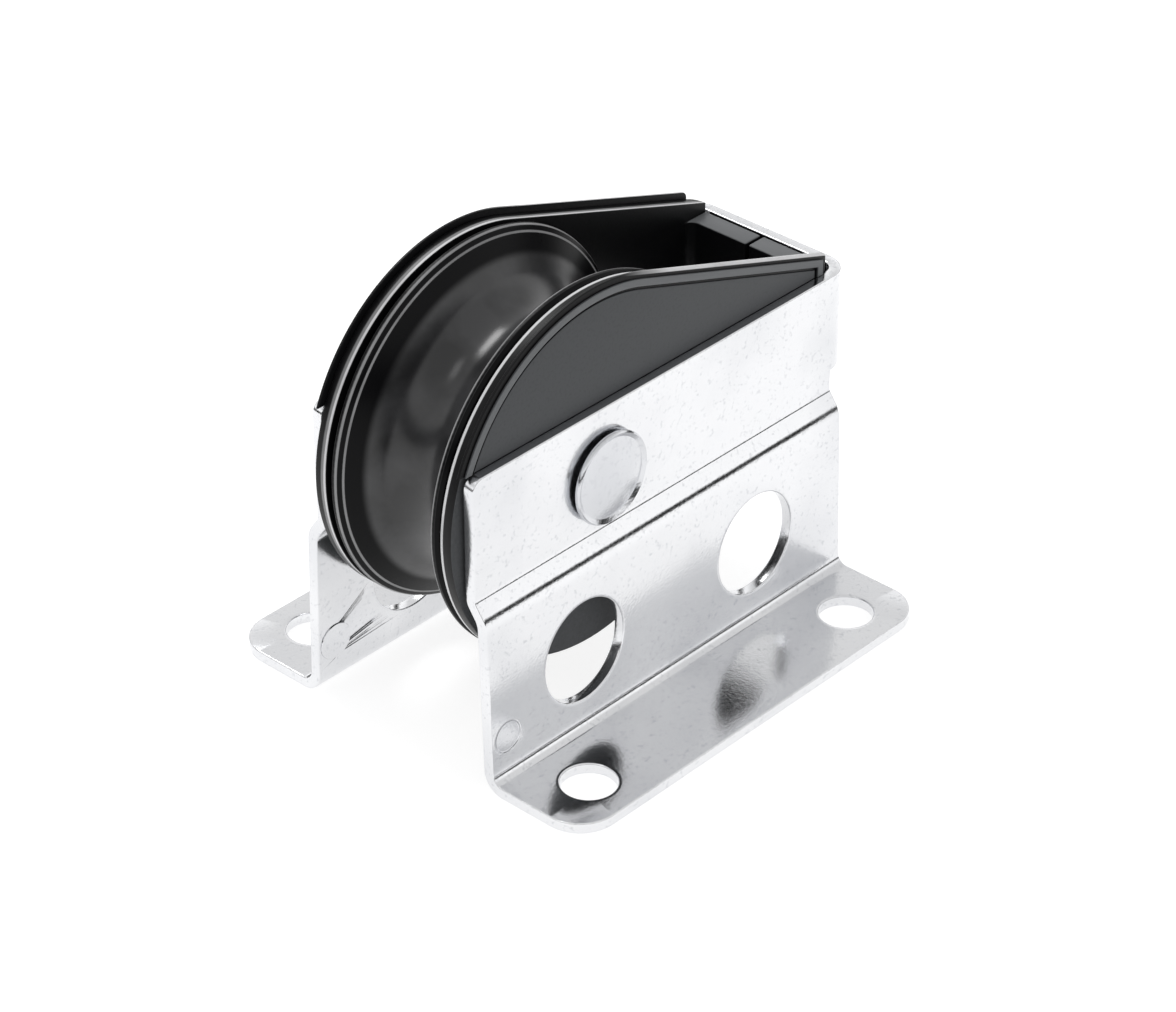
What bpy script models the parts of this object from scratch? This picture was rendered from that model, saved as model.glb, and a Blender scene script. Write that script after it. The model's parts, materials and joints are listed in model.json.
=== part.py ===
# Upright ball-bearing lead block for a small boat's deck.
# A one-piece stainless stamping wraps two moulded cheeks, and a grooved sheave turns between them
# on two rows of balls. A rivet through the lot is the axle.
# Frame: metres, +Z up, X along the block with the open sheave end at -X, Y across.
# The origin is at the bottom centre of the whole block.

import math

import bmesh
import bpy
from mathutils import Matrix

# Sheave
sheave_diameter = 0.0282
sheave_width = 0.0104
groove_width = 0.0091
groove_root_diameter = 0.0192
groove_root_radius = 0.0033
flange_chamfer = 0.0003
flange_edge_radius = 0.0001

# Bearing
ball_diameter = 0.00238
balls_per_row = 14
ball_pitch_radius = 0.0059
ball_row_offset = 0.0032
ball_clearance = 0.0001
ball_side_clearance = 0.00015
race_rib_height = 0.0009
race_chamfer = 0.0003

# Axle rivet
rivet_diameter = 0.0048
rivet_head_diameter = 0.0071
rivet_head_height = 0.0007
rivet_head_chamfer = 0.00035
rivet_dome = 0.00018
rivet_clearance = 0.00015

# Moulded cheeks
crown_margin = 0.0005
crown_overhang = 0.0005
crown_root = 0.0001
crown_back_inset = 0.0004
crown_corner_radius = 0.0005
cheek_back_rise = 0.00125
side_wall = 0.001
back_wall = 0.0017
inner_corner_radius = 0.0008
cheek_base_above_band = 0.0002
boss_root = 0.0003
rim_width = 0.00145
face_recess = 0.00015
bearing_boss_clearance = 0.0003
seam_gap = 0.0003

# Stainless side frame
sheet_thickness = 0.0009
frame_length = 0.0375
leg_height = 0.01405
joggle_rise = 0.00145
joggle_offset = 0.00105
leg_splay = math.radians(1.7)
plate_above_axle = 0.0055
sheet_bend_radius = 0.0005
back_bend_radius = 0.0021
band_relief = 0.0016
foot_reach = 0.0084
foot_corner_radius = 0.0031
plate_corner_radius = 0.001
sheave_overhang = 0.001
sheave_above_deck = 0.0055

# Holes in the side frame
screw_hole_diameter = 0.0041
screw_pitch_length = 0.028
screw_edge_distance = 0.0038
leg_hole_diameter = 0.008
leg_hole_pitch = 0.0183
leg_hole_height = 0.0072
coin_mark_diameter = 0.0021
coin_mark_depth = 0.0001
coin_mark_height = 0.0031
coin_mark_inset = 0.0008

# Gaps between pieces
running_gap = 0.0003
seat_gap = 0.00025

# Mesh fineness
sheave_steps = 60
small_steps = 40
hole_sides = 36
mark_sides = 24
dome_steps = 4
bend_steps = 6
foot_corner_steps = 7
plate_corner_steps = 4
arc_step = math.radians(6)
groove_arc_step = math.radians(11)
merge_distance = 0.00001
match_distance = 0.000001

# Places that follow from the sizes
sheave_radius = sheave_diameter / 2
ball_radius = ball_diameter / 2
rivet_radius = rivet_diameter / 2
crown_radius = sheave_radius + crown_margin
cheek_inner = sheave_width / 2 + running_gap
cheek_outer = cheek_inner + side_wall
crown_outer = cheek_outer + crown_overhang
plate_outer = cheek_outer + seat_gap + sheet_thickness
leg_outer = plate_outer + joggle_offset
overall_length = sheave_overhang + frame_length + back_bend_radius
frame_front = sheave_overhang - overall_length / 2
frame_back = frame_front + frame_length
frame_middle = (frame_front + frame_back) / 2
band_back = frame_back + back_bend_radius
axle_x = sheave_radius - overall_length / 2
axle_z = sheave_above_deck + sheave_radius
plate_top = axle_z + plate_above_axle
joggle_top = leg_height + joggle_rise
band_bottom = joggle_top + band_relief
foot_outer = leg_outer + leg_height * math.tan(leg_splay) + foot_reach
screw_y = foot_outer - screw_edge_distance
bore_radius = ball_pitch_radius + ball_radius + ball_clearance
race_radius = ball_pitch_radius - ball_radius - ball_clearance
boss_face = ball_row_offset + ball_radius + ball_side_clearance
boss_radius = bore_radius - bearing_boss_clearance
cheek_back = band_back - sheet_thickness - seat_gap
crown_back = cheek_back - crown_back_inset
cheek_base = band_bottom + cheek_base_above_band
cheek_shelf = plate_top + seat_gap
cheek_corner_radius = back_bend_radius - sheet_thickness - seat_gap
back_reach = cheek_back - axle_x
back_height = plate_top + cheek_back_rise - axle_z
back_distance = math.hypot(back_reach, back_height)
cheek_tangent = math.atan2(back_height, back_reach) + math.acos(crown_radius / back_distance)

near, far = -1, 1
span = 0.1
sheet_cut = 4 * sheet_thickness


# Scene and collections

def clear_scene():
    for item in list(bpy.data.objects):
        bpy.data.objects.remove(item, do_unlink=True)


def new_collection(name):
    collection = bpy.data.collections.new(name)
    bpy.context.scene.collection.children.link(collection)
    return collection


def new_object(name, mesh, collection, material=None):
    item = bpy.data.objects.new(name, mesh)
    collection.objects.link(item)
    if material is not None:
        mesh.materials.append(material)
    return item


def as_cutter(item):
    item.hide_render = True
    item.display_type = "WIRE"
    return item


def new_material(name, colour, roughness, metallic=0.0):
    material = bpy.data.materials.new(name)
    material.use_nodes = True
    shader = material.node_tree.nodes["Principled BSDF"]
    shader.inputs["Base Color"].default_value = (*colour, 1.0)
    shader.inputs["Roughness"].default_value = roughness
    shader.inputs["Metallic"].default_value = metallic
    return material


# Outlines

def arc_points(centre, radius, start, end, step=arc_step):
    steps = max(2, round(abs(end - start) / step))
    angles = [start + (end - start) * i / steps for i in range(steps + 1)]
    return [(centre[0] + radius * math.cos(a), centre[1] + radius * math.sin(a)) for a in angles]


def fillet(before, corner, after, radius, segments=4):
    # the arc of a given radius that rounds the corner of a polyline
    ax, ay = before[0] - corner[0], before[1] - corner[1]
    bx, by = after[0] - corner[0], after[1] - corner[1]
    a_length, b_length = math.hypot(ax, ay), math.hypot(bx, by)
    ax, ay, bx, by = ax / a_length, ay / a_length, bx / b_length, by / b_length
    half = math.acos(max(-1.0, min(1.0, ax * bx + ay * by))) / 2
    reach = radius / math.tan(half)
    mid_x, mid_y = ax + bx, ay + by
    to_centre = radius / math.sin(half) / math.hypot(mid_x, mid_y)
    centre = (corner[0] + mid_x * to_centre, corner[1] + mid_y * to_centre)
    start = math.atan2(corner[1] + ay * reach - centre[1], corner[0] + ax * reach - centre[0])
    end = math.atan2(corner[1] + by * reach - centre[1], corner[0] + bx * reach - centre[0])
    turn = (end - start + math.pi) % (2 * math.pi) - math.pi
    angles = [start + turn * i / segments for i in range(segments + 1)]
    return [(centre[0] + radius * math.cos(a), centre[1] + radius * math.sin(a)) for a in angles]


def rounded_path(points, radii, segments=4):
    path = [points[0]]
    for i in range(1, len(points) - 1):
        if radii[i]:
            path += fillet(points[i - 1], points[i], points[i + 1], radii[i], segments)
        else:
            path.append(points[i])
    return path + [points[-1]]


# Shapes

def flat_plate(name, outline, thickness, matrix, collection, material=None):
    # a closed flat outline, extruded evenly to both sides of its own plane
    curve = bpy.data.curves.new(name + "_outline", "CURVE")
    curve.dimensions = "2D"
    curve.fill_mode = "BOTH"
    curve.extrude = thickness / 2
    spline = curve.splines.new("POLY")
    spline.points.add(len(outline) - 1)
    for point, (x, y) in zip(spline.points, outline):
        point.co = (x, y, 0.0, 1.0)
    spline.use_cyclic_u = True
    guide = bpy.data.objects.new(name + "_outline", curve)
    guide.matrix_world = matrix
    collection.objects.link(guide)
    bpy.context.view_layer.update()
    evaluated = guide.evaluated_get(bpy.context.evaluated_depsgraph_get())
    mesh = bpy.data.meshes.new_from_object(evaluated)
    mesh.name = name
    bm = bmesh.new()
    bm.from_mesh(mesh)
    bmesh.ops.remove_doubles(bm, verts=bm.verts, dist=merge_distance)
    bmesh.ops.recalc_face_normals(bm, faces=bm.faces)
    bm.to_mesh(mesh)
    bm.free()
    item = new_object(name, mesh, collection, material)
    item.matrix_world = matrix
    bpy.data.objects.remove(guide, do_unlink=True)
    return item


def turned(name, profile, closed, steps, collection, material):
    # a profile of (radius, place along the axle), turned about the axle line
    mesh = bpy.data.meshes.new(name)
    bm = bmesh.new()
    verts = [bm.verts.new((radius, 0.0, along)) for radius, along in profile]
    pairs = list(zip(verts, verts[1:]))
    if closed:
        pairs.append((verts[-1], verts[0]))
    for a, b in pairs:
        bm.edges.new((a, b))
    bm.to_mesh(mesh)
    bm.free()
    item = new_object(name, mesh, collection, material)
    screw = item.modifiers.new("turn", "SCREW")
    screw.steps = steps
    screw.render_steps = steps
    screw.use_merge_vertices = True
    screw.merge_threshold = merge_distance
    item.location = (axle_x, 0.0, axle_z)
    item.rotation_euler = (-math.pi / 2, 0.0, 0.0)
    return item


def cylinder(name, radius, length, centre, axis, collection, sides=hole_sides):
    mesh = bpy.data.meshes.new(name)
    bm = bmesh.new()
    bmesh.ops.create_cone(bm, cap_ends=True, segments=sides, radius1=radius, radius2=radius, depth=length)
    if axis == "Y":
        bmesh.ops.rotate(bm, cent=(0, 0, 0), matrix=Matrix.Rotation(math.pi / 2, 3, "X"), verts=bm.verts)
    bm.to_mesh(mesh)
    bm.free()
    item = new_object(name, mesh, collection)
    item.location = centre
    return item


def box(name, low, high, collection):
    mesh = bpy.data.meshes.new(name)
    bm = bmesh.new()
    bmesh.ops.create_cube(bm, size=1.0)
    bmesh.ops.scale(bm, vec=[h - l for l, h in zip(low, high)], verts=bm.verts)
    bm.to_mesh(mesh)
    bm.free()
    item = new_object(name, mesh, collection)
    item.location = [(l + h) / 2 for l, h in zip(low, high)]
    return item


def combine(item, operation, tool, name):
    boolean = item.modifiers.new(name, "BOOLEAN")
    boolean.operation = operation
    boolean.solver = "EXACT"
    boolean.object = as_cutter(tool)


def shade_smooth(item, angle=math.radians(35)):
    item.data.shade_smooth()
    item.data.set_sharp_from_angle(angle=angle)


# Stainless side frame

def side_profile():
    # outer face of the near half, from the plate's top down to the foot's edge, as (y, z)
    lean = math.tan(leg_splay)
    corners = [
        (-plate_outer, plate_top),
        (-plate_outer, band_bottom),
        (-plate_outer, joggle_top),
        (-leg_outer, leg_height),
        (-leg_outer - (leg_height - sheet_thickness) * lean, sheet_thickness),
        (-foot_outer, sheet_thickness),
    ]
    convex = sheet_bend_radius + sheet_thickness
    return rounded_path(corners, [0, 0, sheet_bend_radius, convex, sheet_bend_radius, 0])


def half_sheet():
    # the near half of the sheet's outer face, bent but with no thickness
    bm = bmesh.new()
    profile = [bm.verts.new((frame_front, y, z)) for y, z in side_profile()]
    edges = [bm.edges.new(pair) for pair in zip(profile, profile[1:])]
    swept = bmesh.ops.extrude_edge_only(bm, edges=edges)["geom"]
    back = [v for v in swept if isinstance(v, bmesh.types.BMVert)]
    bmesh.ops.translate(bm, verts=back, vec=(frame_length, 0, 0))

    band_height = plate_top - band_bottom

    def band_edge(test):
        upright = [e for e in bm.edges if abs(e.calc_length() - band_height) < match_distance]
        return [e for e in upright if all(v.co.z > band_bottom - merge_distance and test(v.co) for v in e.verts)]

    corner = (frame_back, -plate_outer + back_bend_radius, 0)
    start = band_edge(lambda co: abs(co.x - frame_back) < merge_distance)
    bmesh.ops.spin(bm, geom=start, cent=corner, axis=(0, 0, 1), dvec=(0, 0, 0),
                   angle=math.pi / 2, steps=bend_steps, use_merge=False, use_duplicate=False)
    last = band_edge(lambda co: abs(co.x - band_back) < merge_distance)
    swept = bmesh.ops.extrude_edge_only(bm, edges=last)["geom"]
    middle = [v for v in swept if isinstance(v, bmesh.types.BMVert)]
    for v in middle:
        v.co.y = 0.0
    bmesh.ops.remove_doubles(bm, verts=bm.verts, dist=merge_distance)

    def corners_at(y, z):
        return [v for v in bm.verts if max(abs(v.co.y - y), abs(v.co.z - z)) < match_distance]

    feet = corners_at(-foot_outer, sheet_thickness)
    bmesh.ops.bevel(bm, geom=feet, affect="VERTICES", offset=foot_corner_radius, offset_type="OFFSET",
                    segments=foot_corner_steps, profile=0.5)
    plate = [v for v in corners_at(-plate_outer, plate_top) if abs(v.co.x - frame_front) < match_distance]
    bmesh.ops.bevel(bm, geom=plate, affect="VERTICES", offset=plate_corner_radius, offset_type="OFFSET",
                    segments=plate_corner_steps, profile=0.5)
    bmesh.ops.recalc_face_normals(bm, faces=bm.faces)
    outward = next(f for f in bm.faces if abs(f.normal.y) > 0.99)
    if outward.normal.y > 0:
        bmesh.ops.reverse_faces(bm, faces=bm.faces)
    return bm


def make_side_frame(parts, cutters, material):
    bm = half_sheet()
    mesh = bpy.data.meshes.new("side_frame")
    bm.to_mesh(mesh)
    bm.free()
    frame = new_object("side_frame", mesh, parts, material)
    mirror = frame.modifiers.new("far half", "MIRROR")
    mirror.use_axis = (False, True, False)
    mirror.use_clip = True
    mirror.merge_threshold = merge_distance
    sheet = frame.modifiers.new("sheet", "SOLIDIFY")
    sheet.thickness = sheet_thickness
    sheet.offset = -1.0
    sheet.use_even_offset = True

    rivet_hole = cylinder("rivet_hole", rivet_radius + rivet_clearance, span,
                          (axle_x, 0, axle_z), "Y", cutters)
    combine(frame, "DIFFERENCE", rivet_hole, "rivet hole")
    for end in (-1, 1):
        label = "front" if end < 0 else "back"
        x = frame_middle + end * leg_hole_pitch / 2
        hole = cylinder(f"leg_hole_{label}", leg_hole_diameter / 2, span,
                        (x, 0, leg_hole_height), "Y", cutters)
        combine(frame, "DIFFERENCE", hole, f"{label} leg holes")
        x = frame_middle + end * screw_pitch_length / 2
        for side in (near, far):
            hand = "near" if side == near else "far"
            hole = cylinder(f"screw_hole_{hand}_{label}", screw_hole_diameter / 2, sheet_cut,
                            (x, side * screw_y, 0), "Z", cutters)
            combine(frame, "DIFFERENCE", hole, f"{hand} {label} screw hole")

    leg_face = leg_outer + (leg_height - coin_mark_height) * math.tan(leg_splay)
    mark = cylinder("coin_mark", coin_mark_diameter / 2, sheet_cut,
                    (frame_front + coin_mark_inset, -leg_face - sheet_cut / 2 + coin_mark_depth,
                     coin_mark_height), "Y", cutters, mark_sides)
    mark.rotation_euler = (-leg_splay, 0, 0)
    combine(frame, "DIFFERENCE", mark, "coin mark")
    shade_smooth(frame)
    return frame


# Moulded cheeks

def cheek_crown(radius, back, foot):
    # an arc round the sheave that runs on as a straight slope to the back, as (x, z)
    top_back = axle_z + (radius - (back - axle_x) * math.cos(cheek_tangent)) / math.sin(cheek_tangent)
    foot_angle = math.pi - math.asin((foot - axle_z) / radius)
    return [(back, top_back)] + arc_points((axle_x, axle_z), radius, cheek_tangent, foot_angle)


def disc_outline():
    # the cheek's inner part: a full disc level with the sheave's flanges, and a wing back to the band
    # the outline runs past the back face, which the plan view cuts
    back = cheek_back + side_wall
    wing = math.asin((axle_z - cheek_base) / sheave_radius)
    base_x = axle_x + sheave_radius * math.cos(wing)
    top = cheek_crown(sheave_radius, back, axle_z)
    lower = arc_points((axle_x, axle_z), sheave_radius, math.pi, 2 * math.pi - wing)
    return top + lower[1:-1] + [(base_x, cheek_base), (back, cheek_base)]


def crown_outline():
    # the cheek's outer part, which stands on the steel plate's top edge
    back = cheek_back + side_wall
    return [(back, cheek_shelf)] + cheek_crown(crown_radius, back, cheek_shelf)


def face_outline():
    # the sunk field inside the crown's rim, open at the steel plate
    back = crown_back - rim_width
    return [(back, plate_top)] + cheek_crown(crown_radius - rim_width, back, plate_top)


def side_view(y):
    # turns a flat outline's plane upright, so that its second number is a height
    return Matrix.Translation((0, y, 0)) @ Matrix.Rotation(math.pi / 2, 4, "X")


def make_crown(name, side, cutters):
    outer, inner = side * crown_outer, side * (cheek_outer - crown_root)
    start = axle_x - crown_radius - side_wall
    corners = [(start, outer), (crown_back, outer), (crown_back, inner), (start, inner)]
    plan = rounded_path(corners, [0, crown_corner_radius, 0, 0])
    height = crown_radius + side_wall
    middle = Matrix.Translation((0, 0, axle_z + height / 2))
    crown = flat_plate(f"{name}_crown", plan, height, middle, cutters)
    outline = flat_plate(f"{name}_crown_view", crown_outline(), span, side_view(0.0), cutters)
    combine(crown, "INTERSECT", outline, "side view")
    return crown


def make_cheek(name, side, parts, cutters, material):
    outer, inner = side * cheek_outer, side * cheek_inner
    start = axle_x - sheave_radius - side_wall
    seam = side * seam_gap / 2
    corners = [(start, outer), (cheek_back, outer), (cheek_back, seam), (cheek_back - back_wall, seam),
               (cheek_back - back_wall, inner), (start, inner)]
    plan = rounded_path(corners, [0, cheek_corner_radius, 0, 0, inner_corner_radius, 0])
    height = sheave_radius + side_wall
    cheek = flat_plate(name, plan, 2 * height, Matrix.Translation((0, 0, axle_z)), parts, material)

    outline = flat_plate(f"{name}_side_view", disc_outline(), span, side_view(0.0), cutters)
    combine(cheek, "INTERSECT", outline, "side view")
    low = (cheek_back - back_wall - inner_corner_radius, -cheek_inner, plate_top)
    high = (cheek_back + side_wall, cheek_inner, axle_z + height)
    combine(cheek, "DIFFERENCE", box(f"{name}_back_top", low, high, cutters), "back wall top")
    combine(cheek, "UNION", make_crown(name, side, cutters), "crown")
    boss_depth = cheek_inner + boss_root - boss_face
    boss = cylinder(f"{name}_boss", boss_radius, boss_depth,
                    (axle_x, side * (boss_face + boss_depth / 2), axle_z), "Y", cutters, small_steps)
    combine(cheek, "UNION", boss, "bearing boss")
    field_depth = 2 * face_recess
    field = flat_plate(f"{name}_face", face_outline(), field_depth, side_view(side * crown_outer), cutters)
    combine(cheek, "DIFFERENCE", field, "recessed face")
    hole = cylinder(f"{name}_rivet_hole", rivet_radius + rivet_clearance, span,
                    (axle_x, 0, axle_z), "Y", cutters)
    combine(cheek, "DIFFERENCE", hole, "rivet hole")
    shade_smooth(cheek)
    return cheek


# Sheave, bearing and axle

def sheave_profile():
    # down the outer side from the far flange to the near one, then back up the bore
    half = sheave_width / 2
    root_centre = groove_root_diameter / 2 + groove_root_radius
    lip_out, lip_along = sheave_radius - root_centre, groove_width / 2
    tangent = math.atan2(lip_along, lip_out) + math.acos(groove_root_radius / math.hypot(lip_out, lip_along))
    root = arc_points((root_centre, 0.0), groove_root_radius, tangent, math.pi, groove_arc_step)
    corners = [(bore_radius, half), (sheave_radius - flange_chamfer, half),
               (sheave_radius, half - flange_chamfer), (sheave_radius, lip_along), root[0]]
    edge = flange_edge_radius
    top_half = rounded_path(corners, [0, edge, edge, edge, 0], 2) + root[1:]
    lower_half = [(radius, -along) for radius, along in reversed(top_half[:-1])]
    rib_radius = bore_radius - race_rib_height
    rib_half = ball_row_offset - ball_radius - ball_side_clearance
    bore = [(bore_radius, -rib_half), (rib_radius, -rib_half),
            (rib_radius, rib_half), (bore_radius, rib_half)]
    return top_half + lower_half + bore


def race_profile():
    half = boss_face - seat_gap
    bore = rivet_radius + rivet_clearance
    chamfer = race_chamfer
    return [(race_radius - chamfer, half), (race_radius, half - chamfer),
            (race_radius, chamfer - half), (race_radius - chamfer, -half), (bore, -half), (bore, half)]


def rivet_profile():
    seat = plate_outer + seat_gap
    crown = seat + rivet_head_height
    head = rivet_head_diameter / 2
    flat = head - rivet_head_chamfer
    shares = [i / dome_steps for i in range(dome_steps + 1)]
    dome = [(flat * share, crown - rivet_dome * share ** 2) for share in shares]
    upper = dome + [(head, crown - rivet_dome - rivet_head_chamfer), (head, seat), (rivet_radius, seat)]
    return upper + [(radius, -along) for radius, along in reversed(upper)]


def make_ball(name, side, angle, parts, mesh):
    ball = new_object(name, mesh, parts)
    ball.location = (axle_x + ball_pitch_radius * math.cos(angle), side * ball_row_offset,
                     axle_z + ball_pitch_radius * math.sin(angle))
    return ball


def make_balls(parts, material):
    mesh = bpy.data.meshes.new("ball")
    bm = bmesh.new()
    bmesh.ops.create_icosphere(bm, subdivisions=2, radius=ball_radius)
    bm.to_mesh(mesh)
    bm.free()
    mesh.shade_smooth()
    mesh.materials.append(material)
    for side, hand in ((near, "near"), (far, "far")):
        stagger = 0.0 if side == near else math.pi / balls_per_row
        for i in range(balls_per_row):
            angle = 2 * math.pi * i / balls_per_row + stagger
            make_ball(f"{hand}_ball_{i + 1:02d}", side, angle, parts, mesh)


def build():
    clear_scene()
    parts = new_collection("lead_block")
    cutters = new_collection("lead_block_cutters")
    stainless = new_material("stainless_steel", (0.78, 0.79, 0.81), 0.32, 1.0)
    cheek_plastic = new_material("cheek_plastic", (0.045, 0.047, 0.05), 0.42)
    sheave_plastic = new_material("sheave_plastic", (0.02, 0.021, 0.023), 0.3)
    race_metal = new_material("race_steel", (0.62, 0.63, 0.65), 0.25, 1.0)
    ball_plastic = new_material("ball_plastic", (0.8, 0.79, 0.75), 0.35)

    make_side_frame(parts, cutters, stainless)
    make_cheek("near_cheek", near, parts, cutters, cheek_plastic)
    make_cheek("far_cheek", far, parts, cutters, cheek_plastic)
    sheave = turned("sheave", sheave_profile(), True, sheave_steps, parts, sheave_plastic)
    race = turned("inner_race", race_profile(), True, small_steps, parts, race_metal)
    rivet = turned("axle_rivet", rivet_profile(), False, small_steps, parts, stainless)
    for item in (sheave, race, rivet):
        shade_smooth(item)
    make_balls(parts, ball_plastic)


build()
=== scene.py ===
import json
import math

import bmesh
import bpy
from mathutils import Matrix, Vector


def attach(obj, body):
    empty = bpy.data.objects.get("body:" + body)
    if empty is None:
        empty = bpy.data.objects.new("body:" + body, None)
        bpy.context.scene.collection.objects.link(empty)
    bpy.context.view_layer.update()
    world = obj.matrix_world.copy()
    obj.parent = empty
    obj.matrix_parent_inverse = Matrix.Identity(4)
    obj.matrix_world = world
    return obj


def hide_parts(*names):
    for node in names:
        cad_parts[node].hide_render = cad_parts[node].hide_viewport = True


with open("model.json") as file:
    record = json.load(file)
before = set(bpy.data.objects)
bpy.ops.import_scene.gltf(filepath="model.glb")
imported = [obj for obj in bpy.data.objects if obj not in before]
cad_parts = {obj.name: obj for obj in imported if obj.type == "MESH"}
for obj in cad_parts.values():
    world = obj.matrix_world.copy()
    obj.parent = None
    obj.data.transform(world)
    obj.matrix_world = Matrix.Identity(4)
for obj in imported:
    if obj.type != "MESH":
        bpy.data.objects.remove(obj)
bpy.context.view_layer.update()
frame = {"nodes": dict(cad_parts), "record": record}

mm = 0.001
axle = Vector((-6.2, 0.0, 19.6))              # pieces are modelled in millimetres and scaled when done
touch = 1e-4                                  # places closer than this, in millimetres, count as one
doubles = 0.001                               # points closer than this, in millimetres, are merged
print("frame loaded:", len(frame["nodes"]), "nodes")


# Shader maths: one socket, so that a sum or a product of sockets reads as a plain expression

class Link:
    def __init__(self, nodes, socket):
        self.nodes, self.socket = nodes, socket

    def maths(self, operation, *others):
        return self.nodes.maths(operation, self, *others)

    def __add__(self, other):
        return self.maths("ADD", other)

    def __radd__(self, other):
        return self.maths("ADD", other)

    def __sub__(self, other):
        return self.maths("SUBTRACT", other)

    def __rsub__(self, other):
        return self.nodes.maths("SUBTRACT", other, self)

    def __mul__(self, other):
        return self.maths("MULTIPLY", other)

    def __rmul__(self, other):
        return self.maths("MULTIPLY", other)

    def __truediv__(self, other):
        return self.maths("DIVIDE", other)

    def __rtruediv__(self, other):
        return self.nodes.maths("DIVIDE", other, self)

    def __pow__(self, other):
        return self.maths("POWER", other)


class Nodes:
    # a node tree, with one method for any node in it
    def __init__(self, tree):
        self.tree = tree

    def node(self, kind, settings, inputs, output=0):
        node = self.tree.nodes.new(kind)
        for name, value in settings.items():
            if name == "stops":
                self.setStops(node, value)
            else:
                setattr(node, name, value)
        for name, value in inputs.items():
            if isinstance(value, Link):
                self.tree.links.new(value.socket, node.inputs[name])
            else:
                node.inputs[name].default_value = value
        return Link(self, node.outputs[output])

    def setStops(self, node, stops):
        ramp = node.color_ramp
        for i, (place, grey) in enumerate(stops):
            stop = ramp.elements[i] if i < len(ramp.elements) else ramp.elements.new(place)
            stop.position = place
            stop.color = (grey, grey, grey, 1.0)

    def maths(self, operation, *values):
        return self.node("ShaderNodeMath", {"operation": operation}, dict(enumerate(values)))

    def connect(self, value, socket):
        self.tree.links.new(value.socket, socket)


class Finish(Nodes):
    # one material: its node tree, its shader and the object's own coordinates
    def __init__(self, name, **constants):
        self.material = bpy.data.materials.new(name)
        self.material.use_nodes = True
        super().__init__(self.material.node_tree)
        self.shader = self.tree.nodes["Principled BSDF"]
        for socket, value in constants.items():
            self.shader.inputs[socket.replace("_", " ")].default_value = value
        self.place = self.node("ShaderNodeTexCoord", {}, {}, "Object")

    def noise(self, scale, detail, roughness=0.5):
        return self.node("ShaderNodeTexNoise", {}, {"Vector": self.place, "Scale": scale, "Detail": detail,
                                                    "Roughness": roughness}, "Fac")

    def mix(self, amount, first, second):
        return self.node("ShaderNodeMix", {"data_type": "RGBA"}, {0: amount, 6: first, 7: second}, 2)

    def ramp(self, value, stops):
        return self.node("ShaderNodeValToRGB", {"stops": stops}, {"Fac": value})

    def feed(self, socket, value):
        self.connect(value, self.shader.inputs[socket])

    def bump(self, height, depth):
        lifted = self.node("ShaderNodeBump", {}, {"Height": height, "Distance": depth, "Strength": 1.0},
                           "Normal")
        self.feed("Normal", lifted)


# Finishes

stainlessLook = {"colour": (0.80, 0.805, 0.82, 1), "darker": (0.60, 0.61, 0.635, 1), "roughness": 0.10,
                 "patchSize": 95.0, "patchStops": [(0.45, 0.0), (0.68, 1.0)], "patchShade": 0.42,
                 "patchDull": 0.07,
                 "speckleSize": 2700.0, "speckleStops": [(0.58, 0.0), (0.72, 1.0)], "speckleShade": 0.55,
                 "speckleDull": 0.06, "grainSize": 5200.0, "grainDepth": 0.010 * mm, "grainDull": 0.08}
markLook = {"centre": (-17.7 * mm, -9.0 * mm, 4.1 * mm), "radius": 1.35 * mm, "stretch": (1, 2, 1),
            "insideStops": [(0.86, 1.0), (1.0, 0.0)], "ringStops": [(0.80, 0.0), (0.90, 1.0), (1.0, 0.0)],
            "insideShade": 0.42, "ringShade": 0.25, "depth": 0.05 * mm, "grain": 0.12}


def makeStainless(name, marked=False, tone=1.0):
    look = stainlessLook
    steel = Finish(name, Metallic=1.0)
    patches = steel.noise(look["patchSize"], 3.0)
    speckle = steel.noise(look["speckleSize"], 2.0, 0.6)
    grain = steel.noise(look["grainSize"], 3.0, 0.6)
    soft = steel.ramp(patches, look["patchStops"])
    dots = steel.ramp(speckle, look["speckleStops"])
    shade = soft * look["patchShade"] + dots * look["speckleShade"] + (1.0 - tone)
    if marked:
        inside, ring = markShapes(steel)
        shade = shade + inside * markLook["insideShade"] + ring * markLook["ringShade"]
        steel.bump(grain * markLook["grain"] - inside, markLook["depth"])
    else:
        steel.bump(grain, look["grainDepth"])
    steel.feed("Base Color", steel.mix(shade, look["colour"], look["darker"]))
    dull = grain * look["grainDull"] + soft * look["patchDull"] + dots * look["speckleDull"]
    steel.feed("Roughness", look["roughness"] + dull)
    return steel.material


def markShapes(steel):
    # the tone and bump of the mark on the near leg, over its cut in the sheet: its inside, and its ring
    look = markLook
    away = steel.node("ShaderNodeVectorMath", {"operation": "SUBTRACT"}, {0: steel.place, 1: look["centre"]})
    away = steel.node("ShaderNodeVectorMath", {"operation": "MULTIPLY"}, {0: away, 1: look["stretch"]})
    reach = steel.node("ShaderNodeVectorMath", {"operation": "LENGTH"}, {0: away}, "Value") / look["radius"]
    return steel.ramp(reach, look["insideStops"]), steel.ramp(reach, look["ringStops"])


# The light lines on the cheeks' inner edges, slope and far rim, and on the sheave's lips, are painted
# highlights, and the sheave's greyer mottled root is painted sheen; the disc face's darker grey is painted
# shade. The pale lines, black flanks and grey faces below are tones placed on the pieces to follow the
# photograph, where their cause can't be told: they may be edges that catch the light, or the finish itself.

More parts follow.
